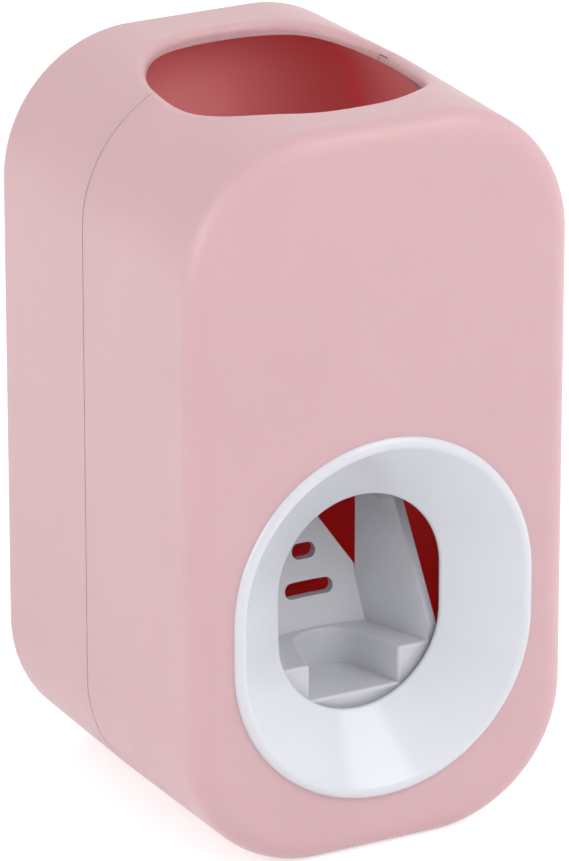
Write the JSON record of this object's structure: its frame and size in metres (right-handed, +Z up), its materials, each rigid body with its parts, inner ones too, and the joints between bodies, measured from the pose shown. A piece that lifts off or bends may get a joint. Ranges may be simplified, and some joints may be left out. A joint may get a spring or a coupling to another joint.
{
  "type": "toothpaste dispenser",
  "caption": "Upright rounded toothpaste dispenser: tube opening on top, oval funnel in front, and a push cup that rocks back to work a bellows pump.",
  "frame": {"origin": "middle of the base, at the centre of the overall width and depth, on the resting plane", "axes": "+Z up, +X to the right seen from the front, -Y out of the front face"},
  "size_m": [0.0672, 0.0663, 0.1197],
  "materials": {
    "housing_plastic": "satin pink moulded plastic",
    "white_plastic": "glossy white moulded plastic",
    "pump_plastic": "natural white moulded plastic",
    "silicone": "translucent milky silicone",
    "steel": "plain stainless steel"
  },
  "bodies": {
    "housing": {"front_shell": "housing_plastic", "rear_shell": "housing_plastic", "funnel_ring": "white_plastic", "pivot_pin_left": "steel", "pivot_pin_right": "steel", "bellows": "silicone", "return_spring": "steel", "pump_cylinder": "pump_plastic", "valve_sheet": "silicone", "pump_body": "pump_plastic", "channel_plug": "pump_plastic", "tube_seal": "silicone", "seal_retainer": "pump_plastic", "outlet_nozzle": "pump_plastic", "outlet_valve": "silicone", "nozzle_cap": "pump_plastic", "pump_screws": "steel", "cylinder_screws": "steel", "shell_screws": "steel"},
    "push_cup": {"pusher": "white_plastic", "lift_pin": "steel"},
    "pump_plunger": {"plunger": "pump_plastic"}
  },
  "joints": [
    {"name": "cup_swing", "type": "hinge", "parent": "housing", "child": "push_cup", "pos_m": [0, -0.01105, 0.062], "axis": [1, 0, 0], "range_deg": [0, 16], "stiffness_Nm_per_rad": 0.12, "springref_deg": -11.46},
    {"name": "plunger_lift", "type": "slide", "parent": "housing", "child": "pump_plunger", "axis": [0, 0, 1], "range_m": [0, 0.0039], "deforming": ["bellows", "return_spring"]}
  ],
  "couplings": [
    {"joint": "plunger_lift", "follows": "cup_swing", "m_per_rad": 0.01395}
  ]
}
